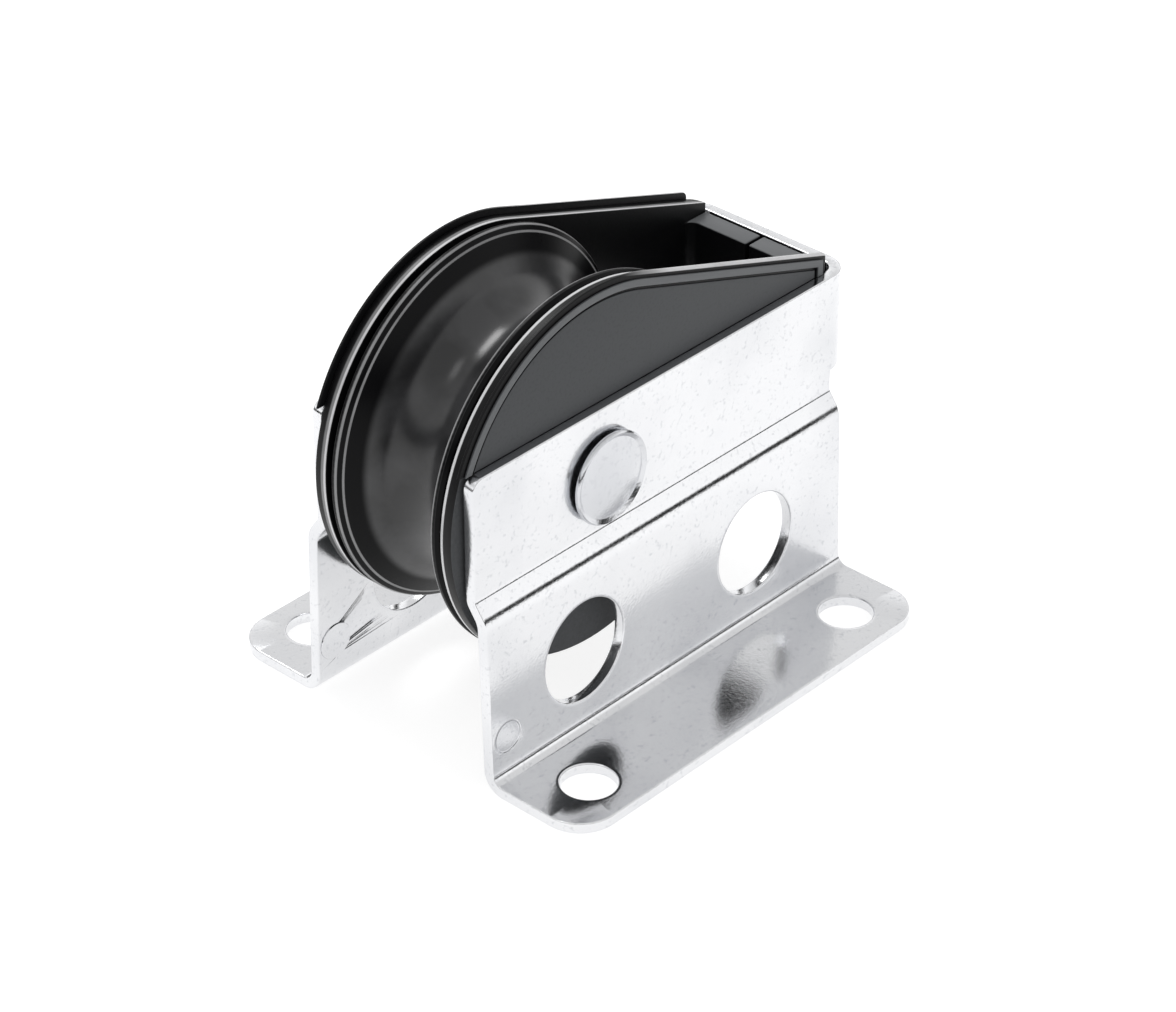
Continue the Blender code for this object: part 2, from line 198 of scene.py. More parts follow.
cheekLook = {"black": (0.0035, 0.0035, 0.004, 1), "face": (0.072, 0.075, 0.079, 1),
             "ring": (0.14, 0.145, 0.15, 1), "paintedHighlight": (0.62, 0.62, 0.63, 1),
             "roughness": 0.34, "specular": 0.16,
             "faceFrom": (6.82, 6.86), "ringFrom": (6.93, 6.96), "discFace": (6.47, 6.49, 6.51, 6.53),
             "discShadeTone": 0.8, "wallTop": (24.98, 25.06), "wallInside": (5.38, 5.46),
             "innerEdgeHighlight": (5.50, 5.56, 5.70, 5.78), "farEdgeHighlight": (5.505, 5.53, 5.90, 6.05), "farHighlightTone": 0.34,
             "slopeAngle": 71.1, "slopeHighlightEdge": (14.34, 14.40), "crownFrom": (-4.0, 2.0),
             "crownSide": (6.57, 6.60),
             "patchSize": 260.0, "highlightLeast": 0.55, "highlightPatches": 0.9, "faceLeast": 0.75, "faceGrain": 0.5,
             "faceDull": 0.14, "grainDull": 0.05, "grainSize": 4200.0, "grainDepth": 0.008 * mm}
# the sheave's root colour and mottling are painted sheen; its lip colour is a painted highlight
sheaveLook = {"black": (0.0025, 0.0025, 0.003, 1), "root": (0.036, 0.036, 0.038, 1),
              "paintedHighlight": (0.30, 0.30, 0.305, 1),
              "roughness": 0.26, "specular": 0.06, "coatRoughness": 0.22, "rootCoat": 0.9, "flankCoat": 0.08,
              "rootUpTo": (12.0, 12.6), "outerHighlight": (13.98, 14.02, 14.07, 14.10),
              "innerHighlight": (13.52, 13.58, 13.66, 13.72), "lipInside": (4.80, 4.95),
              "patchSize": 230.0, "patchStops": [(0.38, 0.25), (0.62, 1.0)], "highlightLeast": 0.4,
              "rootDull": 0.06, "grainDull": 0.05, "grainSize": 2500.0, "grainDepth": 0.003 * mm}
ballLook = {"colour": (0.78, 0.77, 0.72, 1), "paler": (0.84, 0.83, 0.79, 1), "roughness": 0.32,
            "patchSize": 180.0, "patchDull": 0.08, "grainDull": 0.05, "grainSize": 2500.0,
            "grainDepth": 0.002 * mm}


def millimetres(plastic):
    # a point's places along X, Y and Z, in millimetres
    return [plastic.node("ShaderNodeSeparateXYZ", {}, {0: plastic.place}, i) / mm for i in range(3)]


def fromAxleLine(parts):
    across, up = parts[0] - axle.x, parts[2] - axle.z
    return (across * across + up * up) ** 0.5


def step(plastic, value, low, high):
    # 0 below, 1 above
    return plastic.node("ShaderNodeMapRange", {"interpolation_type": "SMOOTHSTEP"},
                        {"Value": value, "From Min": low, "From Max": high})


def band(plastic, value, edges):
    # rises from 0 to 1 between the first two edges and falls back between the last two
    return step(plastic, value, *edges[:2]) * (1.0 - step(plastic, value, *edges[2:]))


def patchesAndGrain(plastic, look):
    return plastic.noise(look["patchSize"], 3.0), plastic.noise(look["grainSize"], 2.0)


def makeCheekPlastic(name):
    # black, with grey outward faces, a lighter ring and wall top, painted highlights along inner edges,
    # slope and far rim, and a darker disc face as painted shade
    look = cheekLook
    plastic = Finish(name, Specular_IOR_Level=look["specular"])
    parts = millimetres(plastic)
    fromMiddle = parts[1].maths("ABSOLUTE")
    patches, grain = patchesAndGrain(plastic, look)
    wall = step(plastic, parts[2], *look["wallTop"]) * (1.0 - step(plastic, fromMiddle, *look["wallInside"]))
    # painted shade: the disc's outward face is made darker than the crown's face
    disc = band(plastic, fromMiddle, look["discFace"]) * look["discShadeTone"]
    face = step(plastic, fromMiddle, *look["faceFrom"]) + disc
    lean = math.radians(look["slopeAngle"])
    reach = (parts[0] - axle.x) * math.cos(lean) + (parts[2] - axle.z) * math.sin(lean)
    # painted highlight along the crown's top on the slope
    slope = (step(plastic, reach, *look["slopeHighlightEdge"]) * step(plastic, parts[0], *look["crownFrom"])
             * step(plastic, fromMiddle, *look["crownSide"]))
    # painted highlight on the far cheek's inner rim, on that side alone
    farEdgeHighlight = band(plastic, parts[1], look["farEdgeHighlight"]) * look["farHighlightTone"]      # on the far cheek alone
    # painted highlights along both cheeks' inner edges, joined with the slope and far ones
    lines = (band(plastic, fromMiddle, look["innerEdgeHighlight"]) + slope).maths("MAXIMUM", farEdgeHighlight)
    colour = plastic.mix(face * (look["faceLeast"] + grain * look["faceGrain"]), look["black"], look["face"])
    colour = plastic.mix(step(plastic, fromMiddle, *look["ringFrom"]) + wall, colour, look["ring"])
    # the painted highlight colour is mixed in along these bands, unevenly
    paintedHighlight = lines * (look["highlightLeast"] + patches * look["highlightPatches"])
    plastic.feed("Base Color", plastic.mix(paintedHighlight, colour, look["paintedHighlight"]))
    plastic.feed("Roughness", look["roughness"] + face * look["faceDull"] + grain * look["grainDull"])
    plastic.bump(grain, look["grainDepth"])
    return plastic.material


def makeSheavePlastic(name):
    # black flanks, a mottled greyer root with a gloss coat, its grey painted sheen, and two painted
    # highlight lines on each lip
    look = sheaveLook
    plastic = Finish(name, Specular_IOR_Level=look["specular"], Coat_Roughness=look["coatRoughness"])
    parts = millimetres(plastic)
    fromMiddle, fromAxle = parts[1].maths("ABSOLUTE"), fromAxleLine(parts)
    patches, grain = patchesAndGrain(plastic, look)
    # the root's greyer, mottled colour is painted sheen; the same mask also sets the root's roughness and
    # gloss coat
    root = 1.0 - step(plastic, fromAxle, *look["rootUpTo"])
    # painted highlight lines round each lip
    lines = band(plastic, fromAxle, look["outerHighlight"]) + band(plastic, fromAxle, look["innerHighlight"])
    lip = lines * (1.0 - step(plastic, fromMiddle, *look["lipInside"]))
    colour = plastic.mix(root * plastic.ramp(patches, look["patchStops"]), look["black"], look["root"])
    plastic.feed("Base Color", plastic.mix(lip * (look["highlightLeast"] + patches), colour, look["paintedHighlight"]))
    plastic.feed("Roughness", look["roughness"] + grain * look["grainDull"] + root * look["rootDull"])
    plastic.feed("Coat Weight", root * look["rootCoat"] + look["flankCoat"])
    plastic.bump(grain, look["grainDepth"])
    return plastic.material


def makeBallPlastic(name):
    look = ballLook
    plastic = Finish(name)
    patches, grain = patchesAndGrain(plastic, look)
    plastic.feed("Base Color", plastic.mix(patches, look["colour"], look["paler"]))
    plastic.feed("Roughness", look["roughness"] + patches * look["patchDull"] + grain * look["grainDull"])
    plastic.bump(grain, look["grainDepth"])
    return plastic.material


markedSteel = makeStainless("marked_stainless", True)
rivetSteel = makeStainless("rivet_steel", tone=0.45)
raceSteel = makeStainless("race_steel")
cheekPlastic = makeCheekPlastic("cheek_plastic")
sheavePlastic = makeSheavePlastic("sheave_plastic")
ballPlastic = makeBallPlastic("ball_plastic")
print("finishes made")


# Modelling helpers

def arc(centre, radius, start, end, steps):
    # points of an arc in a plane, both ends included
    turns = [math.radians(start + (end - start) * i / steps) for i in range(steps + 1)]
    return [(centre[0] + radius * math.cos(a), centre[1] + radius * math.sin(a)) for a in turns]


def roundedProfile(corners, radii, steps=5):
    # rounds the corners of a polyline by small arcs
    path = [corners[0]]
    for before, corner, after, radius in zip(corners, corners[1:], corners[2:], radii[1:]):
        if not radius:
            path.append(corner)
            continue
        point = Vector(corner)
        back, on = (Vector(before) - point).normalized(), (Vector(after) - point).normalized()
        half = back.angle(on) / 2
        centre = point + (back + on).normalized() * (radius / math.sin(half))
        start, end = point + back * (radius / math.tan(half)), point + on * (radius / math.tan(half))
        for i in range(steps + 1):
            spoke = (start - centre).normalized().slerp((end - centre).normalized(), i / steps)
            path.append(tuple(centre + spoke * radius))
    return path + [corners[-1]]


def wire(bm, points):
    # a chain of edges through points: its points and its edges
    verts = [bm.verts.new(p) for p in points]
    return verts, [bm.edges.new(pair) for pair in zip(verts, verts[1:])]


def vertsOf(geom):
    return [g for g in geom if isinstance(g, bmesh.types.BMVert)]


def edgesOf(geom):
    return [g for g in geom if isinstance(g, bmesh.types.BMEdge)]


def bevelEdges(bm, edges, width, segments):
    bmesh.ops.bevel(bm, geom=edges, offset=width, offset_type="OFFSET", affect="EDGES", segments=segments,
                    profile=0.5, material=-1, clamp_overlap=True)


def bevelCorners(bm, verts, width, segments):
    bmesh.ops.bevel(bm, geom=verts, offset=width, offset_type="OFFSET", affect="VERTICES", segments=segments,
                    profile=0.5, material=-1)


def sharpEdges(bm, angle=35):
    return [e for e in bm.edges if len(e.link_faces) == 2 and e.calc_face_angle() > math.radians(angle)]


def turnedAbout(bm, geom, steps):
    # spins a profile a full turn about the axle
    bmesh.ops.spin(bm, geom=geom, cent=axle, axis=(0, 1, 0), dvec=(0, 0, 0), angle=2 * math.pi, steps=steps,
                   use_merge=True, use_duplicate=False)


def standIn(piece, node, slot):
    # the piece rides on its node's body and stands in for the node
    body = next(name for name, held in frame["record"]["behaviour"]["bodies"].items() if node in held)
    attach(piece, body)
    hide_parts(node)


def finishPiece(bm, name, material, node, slot, sharp=35):
    # merges doubles, points the faces outwards, brings the piece to metres and stands it in for its node
    bmesh.ops.remove_doubles(bm, verts=bm.verts, dist=doubles / 2)
    bmesh.ops.recalc_face_normals(bm, faces=bm.faces)
    bmesh.ops.scale(bm, vec=(mm, mm, mm), verts=bm.verts)
    mesh = bpy.data.meshes.new(name)
    bm.to_mesh(mesh)
    bm.free()
    mesh.shade_smooth()
    mesh.set_sharp_from_angle(angle=math.radians(sharp))
    mesh.materials.append(material)
    piece = bpy.data.objects.new(name, mesh)
    bpy.context.scene.collection.objects.link(piece)
    standIn(piece, node, slot)
    return piece


# Sheet: one stamping of stainless, bent round the back

sheet = {"front": -19.3, "back": 18.2, "plateOuter": 7.65, "legOuter": 8.7, "footOuter": 17.517,
         "thickness": 0.9, "plateTop": 25.1, "bandBottom": 17.1, "joggleTop": 15.5, "legHeight": 14.05,
         "legSplay": 1.7, "innerBend": 0.5, "kneeBend": 2.0, "footBend": 0.85, "bendSteps": 8,
         "backBend": 2.1, "backSteps": 12,
         "footCorner": 3.1, "footSteps": 16, "plateCorner": 1.0, "plateSteps": 10,
         "edgeRound": 0.11, "edgeSteps": 3, "edgeAngle": 50, "flatWeight": 100,
         "legHoles": {"radius": 4.0, "places": (-9.7, 8.6), "height": 7.2},
         "screwHoles": {"radius": 2.05, "places": (-14.55, 13.45), "across": 13.717},
         "rivetHole": 2.45, "holeSides": 96, "holeRing": 0.3, "margin": 0.35}
dent = {"place": -17.65, "height": 4.1, "radius": 1.2, "ring": 0.06, "slope": 0.1, "depth": 0.08}


def roundBend(bm, place, radius):
    # rounds the sharp fold that runs along X through a place (y, z)
    y, z = place
    fold = [e for e in bm.edges if all(abs(v.co.y - y) < touch and abs(v.co.z - z) < touch for v in e.verts)]
    turn = fold[0].calc_face_angle()
    bevelEdges(bm, fold, radius * math.tan(turn / 2), sheet["bendSteps"])


def punch(bm, face, holes, dents=()):
    # opens round holes in a flat panel and presses dents: its rim and a ring round each are filled together
    bmesh.ops.inset_region(bm, faces=[face], thickness=sheet["margin"], use_even_offset=True)
    rim = list(face.edges)
    normal = face.normal.copy()
    turn = normal.to_track_quat("Z", "Y").to_matrix().to_4x4()
    bmesh.ops.delete(bm, geom=[face], context="FACES_ONLY")
    rounds = [(centre, radius, sheet["holeRing"]) for centre, radius in holes]
    rounds += [(centre, radius, dent["ring"]) for centre, radius in dents]
    rings = []
    for centre, radius, width in rounds:
        loops = []
        for size in (radius, radius + width):
            made = bmesh.ops.create_circle(bm, cap_ends=False, segments=sheet["holeSides"], radius=size,
                                           matrix=Matrix.Translation(centre) @ turn)["verts"]
            loops.append(list({e for v in made for e in v.link_edges}))
        rim += loops[1]
        rings.append(loops)
    bmesh.ops.triangle_fill(bm, use_beauty=True, use_dissolve=False, edges=rim, normal=normal)
    for inner, outer in rings:
        bmesh.ops.bridge_loops(bm, edges=inner + outer)
    for inner, outer in rings[len(holes):]:
        floor = bmesh.ops.edgenet_fill(bm, edges=inner)["faces"]
        bmesh.ops.inset_region(bm, faces=floor, thickness=dent["slope"], use_even_offset=True)
        bmesh.ops.translate(bm, verts=floor[0].verts, vec=(0, dent["depth"], 0))


def makeSheet():
    s = sheet
    t = s["thickness"]
    lean = math.tan(math.radians(s["legSplay"]))
    legFoot = s["legOuter"] + (s["legHeight"] - t) * lean
    corners = [(s["plateOuter"], s["plateTop"]), (s["plateOuter"], s["bandBottom"]),
               (s["plateOuter"], s["joggleTop"]), (s["legOuter"], s["legHeight"]),
               (legFoot, t), (s["footOuter"], t)]
    bm = bmesh.new()
    edges = wire(bm, [(s["front"], -y, z) for y, z in corners])[1]
    swept = vertsOf(bmesh.ops.extrude_edge_only(bm, edges=edges)["geom"])
    bmesh.ops.translate(bm, verts=swept, vec=(s["back"] - s["front"], 0, 0))

    # the band goes on round the back corner to the middle
    bm.edges.ensure_lookup_table()
    start = [e for e in bm.edges
             if all(v.co.x > s["back"] - touch and v.co.z > s["bandBottom"] - touch for v in e.verts)]
    centre = (s["back"], s["backBend"] - s["plateOuter"], 0)
    last = bmesh.ops.spin(bm, geom=start, cent=centre, axis=(0, 0, 1), dvec=(0, 0, 0), angle=math.pi / 2,
                          steps=s["backSteps"], use_merge=False, use_duplicate=False)["geom_last"]
    swept = vertsOf(bmesh.ops.extrude_edge_only(bm, edges=edgesOf(last))["geom"])
    for v in swept:
        v.co.y = 0.0
    bmesh.ops.remove_doubles(bm, verts=bm.verts, dist=doubles)

    roundBend(bm, (-s["plateOuter"], s["joggleTop"]), s["innerBend"])
    roundBend(bm, (-s["legOuter"], s["legHeight"]), s["kneeBend"])
    roundBend(bm, (-legFoot, t), s["footBend"])
    feet = [v for v in bm.verts if abs(v.co.y + s["footOuter"]) < touch]
    bevelCorners(bm, feet, s["footCorner"], s["footSteps"])
    nose = [v for v in bm.verts if abs(v.co.x - s["front"]) < touch and abs(v.co.z - s["plateTop"]) < touch]
    bevelCorners(bm, nose, s["plateCorner"], s["plateSteps"])

    # the edge on from the band's bottom would cross the rivet's hole, so plate and relief become one panel
    seam = [e for e in bm.edges if abs(e.verts[0].co.x - e.verts[1].co.x) > 1
            and all(abs(v.co.z - s["bandBottom"]) < touch for v in e.verts)]
    bmesh.ops.dissolve_edges(bm, edges=seam, use_verts=False)

    def panel(test):
        found = [f for f in bm.faces if test(f.calc_center_median(), f.normal)]
        return max(found, key=lambda f: f.calc_area())

    legs, screws = s["legHoles"], s["screwHoles"]
    legY = -s["legOuter"] - (s["legHeight"] - legs["height"]) * lean
    band = panel(lambda c, n: c.z > s["joggleTop"] and abs(n.y) > 0.9)
    punch(bm, band, [((axle.x, -s["plateOuter"], axle.z), s["rivetHole"])])
    leg = panel(lambda c, n: c.z < s["legHeight"] and abs(n.y) > 0.9)
    # the dent comes on both legs, because they are mirrored below, and creases their inner faces;
    # the real mark is on the near leg alone
    dentY = -s["legOuter"] - (s["legHeight"] - dent["height"]) * lean
    punch(bm, leg, [((x, legY, legs["height"]), legs["radius"]) for x in legs["places"]],
          [((dent["place"], dentY, dent["height"]), dent["radius"])])
    foot = panel(lambda c, n: c.z < t + 0.01 and abs(n.z) > 0.9)
    punch(bm, foot, [((x, -screws["across"], t), screws["radius"]) for x in screws["places"]])

    bmesh.ops.mirror(bm, geom=bm.verts[:] + bm.edges[:] + bm.faces[:], matrix=Matrix.Identity(4),
                     merge_dist=doubles, axis="Y")
    bmesh.ops.remove_doubles(bm, verts=bm.verts, dist=doubles)
    bmesh.ops.recalc_face_normals(bm, faces=bm.faces)
    outward = max(bm.faces, key=lambda f: f.calc_center_median().x)
    if outward.normal.x < 0:
        bmesh.ops.reverse_faces(bm, faces=bm.faces)
    bmesh.ops.scale(bm, vec=(mm, mm, mm), verts=bm.verts)
    mesh = bpy.data.meshes.new("bent_sheet")
    bm.to_mesh(mesh)
    bm.free()
    mesh.shade_smooth()
    mesh.materials.append(markedSteel)
    piece = bpy.data.objects.new("bent_sheet", mesh)
    bpy.context.scene.collection.objects.link(piece)
    wall = piece.modifiers.new("wall", "SOLIDIFY")
    wall.thickness, wall.offset, wall.use_even_offset = t * mm, -1.0, True
    edge = piece.modifiers.new("tumbled edges", "BEVEL")
    edge.width, edge.segments, edge.limit_method = s["edgeRound"] * mm, s["edgeSteps"], "ANGLE"
    edge.angle_limit = math.radians(s["edgeAngle"])
    edge.use_clamp_overlap = False
    flat = piece.modifiers.new("flat panels", "WEIGHTED_NORMAL")
    flat.keep_sharp, flat.weight = True, s["flatWeight"]
    standIn(piece, "side_frame", "stainless")
    return piece


makeSheet()
print("sheet bent and punched")


# Cheeks: a disc beside the sheave, a wing to the back wall, and a crown that stands on the sheet's top edge

cheek = {"inner": 5.5, "outer": 6.5, "discRadius": 14.1, "crownRadius": 14.6, "crownOuter": 7.0,
         "crownInner": 6.56, "tangent": 71.1, "back": 19.15, "crownBack": 18.2, "base": 17.3,
         "shelf": 25.14, "backWall": 1.7,
         "wallTop": 25.1, "wallRound": 0.12, "wallSteps": 3, "seam": 0.15, "sunk": 0.3,
         "cornerRound": 0.95, "cornerSteps": 10, "innerCorner": 0.8, "innerSteps": 8,
         "edgeRound": 0.22, "edgeSteps": 4, "recess": 0.12, "lip": 0.22, "groove": 0.26,
         "ringEdges": (0.48, 1.02), "overlap": 0.05, "crownRound": 0.05, "crownSteps": 3, "crownAngle": 60,
         "endCorner": 0.6, "endSteps": 8,
         "bossRadius": 6.89, "bossFace": 4.54, "bossChamfer": 0.15, "rivetHole": 2.55, "bossSteps": 72,
         "arcSteps": 96}


def arcFrom(bm, radius, start, end, steps):
    # a run of edges round the axle line, in the plane y = 0: its first and last points
    a = math.radians(start)
    first = bm.verts.new(axle + Vector((radius * math.cos(a), 0, radius * math.sin(a))))
    made = bmesh.ops.spin(bm, geom=[first], cent=axle, axis=(0, -1, 0), dvec=(0, 0, 0),
                          angle=math.radians(end - start), steps=steps, use_merge=False, use_duplicate=False)
    return first, vertsOf(made["geom_last"])[0]


def closeOutline(bm, loose):
    # joins loose points to the two ends of an arc and fills the outline with one face
    for pair in zip(loose, loose[1:]):
        bm.edges.new(pair)
    bmesh.ops.remove_doubles(bm, verts=bm.verts, dist=doubles / 2)
    return bmesh.ops.edgenet_fill(bm, edges=[e for e in bm.edges if not e.link_faces])["faces"][0]


def thicken(bm, face, low, high):
    bmesh.ops.translate(bm, verts=face.verts, vec=(0, low, 0))
    grown = bmesh.ops.extrude_face_region(bm, geom=[face], use_keep_orig=True)["geom"]
    bmesh.ops.translate(bm, verts=vertsOf(grown), vec=(0, high - low, 0))
    bmesh.ops.recalc_face_normals(bm, faces=bm.faces)


def slopeHeight(radius, x):
    a = math.radians(cheek["tangent"])
    return axle.z + (radius - (x - axle.x) * math.cos(a)) / math.sin(a)


def join(target, source):
    mesh = bpy.data.meshes.new("part")
    source.to_mesh(mesh)
    source.free()
    target.from_mesh(mesh)
    bpy.data.meshes.remove(mesh)


def makeDisc(side):
    c = cheek
    bm = bmesh.new()
    wing = math.degrees(math.asin((axle.z - c["base"]) / c["discRadius"]))
    first, last = arcFrom(bm, c["discRadius"], c["tangent"], 360 - wing, c["arcSteps"])
    low = bm.verts.new((c["back"], 0, c["base"]))
    high = bm.verts.new((c["back"], 0, slopeHeight(c["discRadius"], c["back"])))
    face = closeOutline(bm, [last, low, high, first])
    thicken(bm, face, side * c["inner"], side * c["outer"])
    corner = [e for e in bm.edges
              if all(v.co.x > c["back"] - touch and abs(abs(v.co.y) - c["outer"]) < touch for v in e.verts)]
    bevelEdges(bm, corner, c["cornerRound"], c["cornerSteps"])
    bevelEdges(bm, sharpEdges(bm), c["edgeRound"], c["edgeSteps"])
    return bm


def makeBackWall(side):
    c = cheek
    bm = bmesh.new()
    inside, corner = c["back"] - c["backWall"], c["innerCorner"]
    reach = c["inner"] + c["sunk"]
    plan = [(c["back"], c["seam"]), (c["back"], reach), (inside - corner, reach),
            (inside - corner, c["inner"])]
    plan += arc((inside - corner, c["inner"] - corner), corner, 90, 0, c["innerSteps"])[1:]
    plan.append((inside, c["seam"]))
    verts = wire(bm, [(x, side * y, c["base"]) for x, y in plan])[0]
    bm.edges.new((verts[-1], verts[0]))
    face = bmesh.ops.edgenet_fill(bm, edges=bm.edges)["faces"][0]
    grown = bmesh.ops.extrude_face_region(bm, geom=[face], use_keep_orig=True)["geom"]
    bmesh.ops.translate(bm, verts=vertsOf(grown), vec=(0, 0, c["wallTop"] - c["base"]))
    bmesh.ops.recalc_face_normals(bm, faces=bm.faces)
    bevelEdges(bm, sharpEdges(bm), c["wallRound"], c["wallSteps"])
    return bm


def crownPath(radius, end):
    # from the shelf at the front, round the arc and down the slope to the end, as points (x, z)
    c = cheek
    foot = 180 - math.degrees(math.asin((c["shelf"] - axle.z) / radius))
    path = [(axle.x + x, axle.z + z) for x, z in arc((0, 0), radius, foot, c["tangent"], c["arcSteps"])]
    return path + [(end, slopeHeight(radius, end))]


def slab(points, low, high):
    # a flat outline of (x, z) points made into a slab between two places along Y, its rims rounded
    c = cheek
    bm = bmesh.new()
    verts = wire(bm, [(x, 0, z) for x, z in points])[0]
    bm.edges.new((verts[-1], verts[0]))
    face = bmesh.ops.edgenet_fill(bm, edges=bm.edges)["faces"][0]
    thicken(bm, face, low, high)
    rims = [e for e in sharpEdges(bm, c["crownAngle"]) if abs(e.verts[0].co.y - e.verts[1].co.y) < touch]
    bevelEdges(bm, rims, c["crownRound"], c["crownSteps"])
    return bm


def makeCrown(side):
    c = cheek
    top = crownPath(c["crownRadius"], c["crownBack"])
    corner = roundedProfile([top[-2], top[-1], (c["crownBack"], c["shelf"])], [0, c["endCorner"], 0],
                            c["endSteps"])
    outer = top[:-1] + corner[1:]
    tangent = math.radians(c["tangent"])
    ground = c["crownOuter"] - c["lip"]
    crown = slab(outer, side * c["crownInner"], side * ground)

    def raised(points, height):
        join(crown, slab(points, side * (ground - c["overlap"]), side * height))

    def inset(depth):
        # the crown's path moved inwards; it ends where it meets the shelf or the end
        radius = c["crownRadius"] - depth
        end = axle.x + (radius - (c["shelf"] - axle.z) * math.sin(tangent)) / math.cos(tangent)
        path = crownPath(radius, min(end, c["crownBack"] - depth))
        return path if end < c["crownBack"] - depth else path + [(c["crownBack"] - depth, c["shelf"])]

    ring = c["ringEdges"]
    raised(inset(ring[0]) + list(reversed(inset(ring[1]))), c["crownOuter"])
    raised(inset(ring[1] + c["groove"]), c["crownOuter"] - c["recess"])
    return crown


def makeBoss(side):
    c = cheek
    bm = bmesh.new()
    root, hole, face = c["inner"] + c["sunk"], c["rivetHole"], c["bossFace"]
    outer, cut = c["bossRadius"], c["bossChamfer"]
    profile = [(hole, face), (outer - cut, face), (outer, face + cut), (outer, root), (hole, root),
               (hole, face)]
    verts, edges = wire(bm, [axle + Vector((0, side * y, r)) for r, y in profile])
    turnedAbout(bm, verts + edges, c["bossSteps"])
    bmesh.ops.remove_doubles(bm, verts=bm.verts, dist=doubles / 2)
    bmesh.ops.recalc_face_normals(bm, faces=bm.faces)
    return bm


def makeCheek(name, side, node):
    bm = bmesh.new()
    for shell in (makeDisc(side), makeBackWall(side), makeCrown(side), makeBoss(side)):
        join(bm, shell)
    return finishPiece(bm, name, cheekPlastic, node, "cheek_plastic")


makeCheek("cheek_moulding_near", -1, "near_cheek")
makeCheek("cheek_moulding_far", 1, "far_cheek")
print("cheeks moulded")


# Sheave, bearing and axle rivet, all turned about the axle

def turn(name, profile, closed, steps, material, node, slot, sharp=35):
    # a profile of (radius, place along the axle), spun a full turn
    bm = bmesh.new()
    verts, edges = wire(bm, [axle + Vector((0, along, radius)) for radius, along in profile])
    if closed:
        edges.append(bm.edges.new((verts[-1], verts[0])))
    turnedAbout(bm, verts + edges, steps)
    return finishPiece(bm, name, material, node, slot, sharp)


sheave = {"radius": 14.1, "half": 5.2, "grooveHalf": 4.55, "rootRadius": 9.6, "rootRound": 3.3,
          "chamfer": 0.3, "edgeRound": 0.1, "lipRound": 0.4, "bore": 7.19, "rib": 6.29, "ribHalf": 1.86,
          "rootSteps": 16,
          "steps": 180, "sharpAngle": 40}


def makeSheave():
    s = sheave
    centre = s["rootRadius"] + s["rootRound"]
    out, along = s["radius"] - centre, s["grooveHalf"]
    tangent = math.degrees(math.atan2(along, out) + math.acos(s["rootRound"] / math.hypot(out, along)))
    root = arc((centre, 0), s["rootRound"], tangent, 180, s["rootSteps"])
    corners = [(s["bore"], s["half"]), (s["radius"] - s["chamfer"], s["half"]),
               (s["radius"], s["half"] - s["chamfer"]), (s["radius"], along), root[0]]
    top = roundedProfile(corners, [0, s["edgeRound"], s["edgeRound"], s["lipRound"], 0]) + root[1:]
    profile = top + [(radius, -place) for radius, place in reversed(top[:-1])]
    profile += [(s["bore"], -s["ribHalf"]), (s["rib"], -s["ribHalf"]), (s["rib"], s["ribHalf"]),
                (s["bore"], s["ribHalf"])]
    return turn("grooved_wheel", profile, True, s["steps"], sheavePlastic, "sheave", "sheave_plastic",
                s["sharpAngle"])


rivet = {"radius": 2.4, "seat": 7.9, "head": 3.55, "height": 0.7, "chamfer": 0.16, "dome": 0.46,
         "domeSteps": 12, "edgeRound": 0.26, "edgeFrom": 62, "edgeSteps": 8, "steps": 96}


def makeRivet():
    r = rivet
    crown = r["seat"] + r["height"]
    flat = r["head"] - r["chamfer"]
    shares = [i / r["domeSteps"] for i in range(r["domeSteps"] + 1)]
    dome = [(flat * share, crown - r["dome"] * share ** 2) for share in shares]
    rim = arc((r["head"] - r["edgeRound"], r["seat"] + r["edgeRound"]), r["edgeRound"], r["edgeFrom"], -90,
              r["edgeSteps"])
    upper = dome[:-1] + rim + [(r["radius"], r["seat"])]
    profile = upper + [(radius, -place) for radius, place in reversed(upper)]
    return turn("rivet_axle", profile, False, r["steps"], rivetSteel, "axle_rivet", "stainless")


race = {"outer": 4.61, "bore": 2.55, "half": 4.29, "chamfer": 0.3, "steps": 96}


def makeRace():
    r = race
    corner = r["outer"] - r["chamfer"]
    profile = [(corner, r["half"]), (r["outer"], r["half"] - r["chamfer"]),
               (r["outer"], r["chamfer"] - r["half"]), (corner, -r["half"]),
               (r["bore"], -r["half"]), (r["bore"], r["half"])]
    return turn("ground_race", profile, True, r["steps"], raceSteel, "inner_race", "race_steel")


balls = {"radius": 1.19, "pitchRadius": 5.9, "rowOffset": 3.2, "perRow": 14, "subdivisions": 3}


def makeBalls():
    for side, hand in ((-1, "near"), (1, "far")):
        for i in range(balls["perRow"]):
            angle = 2 * math.pi * i / balls["perRow"] + (0 if side < 0 else math.pi / balls["perRow"])
            bm = bmesh.new()
            bmesh.ops.create_icosphere(bm, subdivisions=balls["subdivisions"], radius=balls["radius"])
            spot = axle + Vector((balls["pitchRadius"] * math.cos(angle), side * balls["rowOffset"],
                                  balls["pitchRadius"] * math.sin(angle)))
            bmesh.ops.translate(bm, verts=bm.verts, vec=spot)
            finishPiece(bm, f"{hand}_row_ball_{i + 1:02d}", ballPlastic, f"{hand}_ball_{i + 1:02d}",
                        "ball_plastic")


makeSheave()
makeRivet()
makeRace()
makeBalls()
print("sheave, bearing and rivet turned")


# Floor, lights and camera

studio = {"floorSize": 1.2, "floorHeight": -0.03 * mm, "floorColour": (0.36, 0.36, 0.36, 1),
          "floorGlow": 0.79, "floorRoughness": 0.6, "aimHeight": 17 * mm, "worldLevel": 0.85,
          "sky": [(0.0, 0.0), (0.17, 0.0), (0.24, 1.5), (0.44, 1.3), (0.56, 0.95), (1.0, 0.9)]}

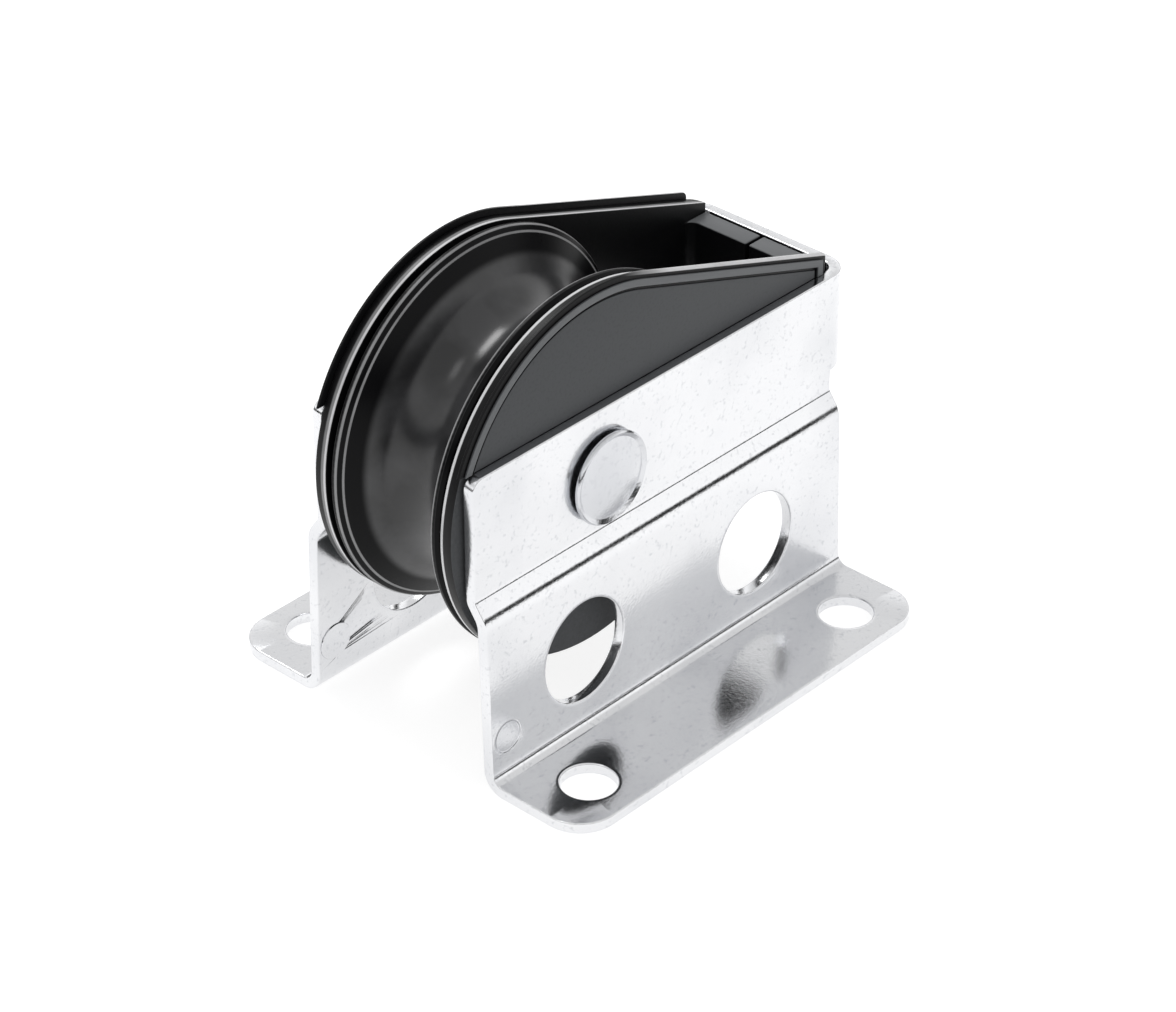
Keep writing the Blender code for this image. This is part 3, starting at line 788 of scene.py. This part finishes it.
floor = bpy.data.meshes.new("floor")
bm = bmesh.new()
bmesh.ops.create_grid(bm, x_segments=1, y_segments=1, size=studio["floorSize"] / 2)
bm.to_mesh(floor)
bm.free()
floorObject = bpy.data.objects.new("floor", floor)
floorObject.location.z = studio["floorHeight"]
bpy.context.scene.collection.objects.link(floorObject)
floorPaint = Finish("floor_paint", Base_Color=studio["floorColour"], Roughness=studio["floorRoughness"],
                    Emission_Color=(1, 1, 1, 1), Emission_Strength=studio["floorGlow"])
floor.materials.append(floorPaint.material)

# the sky is dark below and near the horizon and bright above it, for the dark line along the knee bend
world = bpy.data.worlds.new("studio")
world.use_nodes = True
skyNodes, background = Nodes(world.node_tree), world.node_tree.nodes["Background"]
direction = skyNodes.node("ShaderNodeTexCoord", {}, {}, "Generated")
height = skyNodes.node("ShaderNodeSeparateXYZ", {}, {0: direction}, "Z")
sky = skyNodes.node("ShaderNodeValToRGB", {"stops": studio["sky"]}, {"Fac": height})
skyNodes.connect(sky, background.inputs["Color"])
background.inputs["Strength"].default_value = studio["worldLevel"]
bpy.context.scene.world = world


softboxes = {"top_strip": {"azimuth": -110, "elevation": 60, "distance": 0.40, "size": (0.10, 0.10),
                           "power": 0.06},
             "back_panel": {"azimuth": 168, "elevation": 54, "distance": 0.40, "size": (0.16, 0.12),
                            "power": 0.45}}


def backVector(azimuth, elevation):
    # from the part towards a lamp or camera, for angles in radians
    return Vector((math.sin(azimuth) * math.cos(elevation), -math.cos(azimuth) * math.cos(elevation),
                   math.sin(elevation)))


def makeSoftbox(name, box):
    back = backVector(math.radians(box["azimuth"]), math.radians(box["elevation"]))
    light = bpy.data.lights.new(name, "AREA")
    light.shape = "RECTANGLE"
    light.size, light.size_y = box["size"]
    light.energy = box["power"]
    lamp = bpy.data.objects.new(name, light)
    lamp.location = Vector((0, 0, studio["aimHeight"])) + back * box["distance"]
    lamp.rotation_mode = "QUATERNION"
    lamp.rotation_quaternion = (-back).to_track_quat("-Z", "Y")
    bpy.context.scene.collection.objects.link(lamp)


for name, box in softboxes.items():
    makeSoftbox(name, box)

view = {"azimuth": -47.28, "elevation": 33.203, "roll": -0.132, "distance": 276.63 * mm, "lens": 118.6,
        "sensor": 36.0, "clip": (0.01, 10.0), "aim": (-0.2 * mm, 0, 17 * mm), "right": -0.332 * mm,
        "up": 5.226 * mm}


def makeCamera():
    azimuth, elevation, roll = (math.radians(view[k]) for k in ("azimuth", "elevation", "roll"))
    back = backVector(azimuth, elevation)
    right = Vector((math.cos(azimuth), math.sin(azimuth), 0))
    up = back.cross(right)
    right, up = (right * math.cos(roll) + up * math.sin(roll), up * math.cos(roll) - right * math.sin(roll))
    data = bpy.data.cameras.new("camera")
    data.lens, data.sensor_width, data.sensor_fit = view["lens"], view["sensor"], "HORIZONTAL"
    data.clip_start, data.clip_end = view["clip"]
    camera = bpy.data.objects.new("camera", data)
    place = Vector(view["aim"]) - right * view["right"] - up * view["up"] + back * view["distance"]
    camera.matrix_world = Matrix.Translation(place) @ Matrix((right, up, back)).transposed().to_4x4()
    bpy.context.scene.collection.objects.link(camera)
    bpy.context.scene.camera = camera


makeCamera()
bpy.context.scene.view_settings.view_transform = "Standard"
print("camera and lights set")
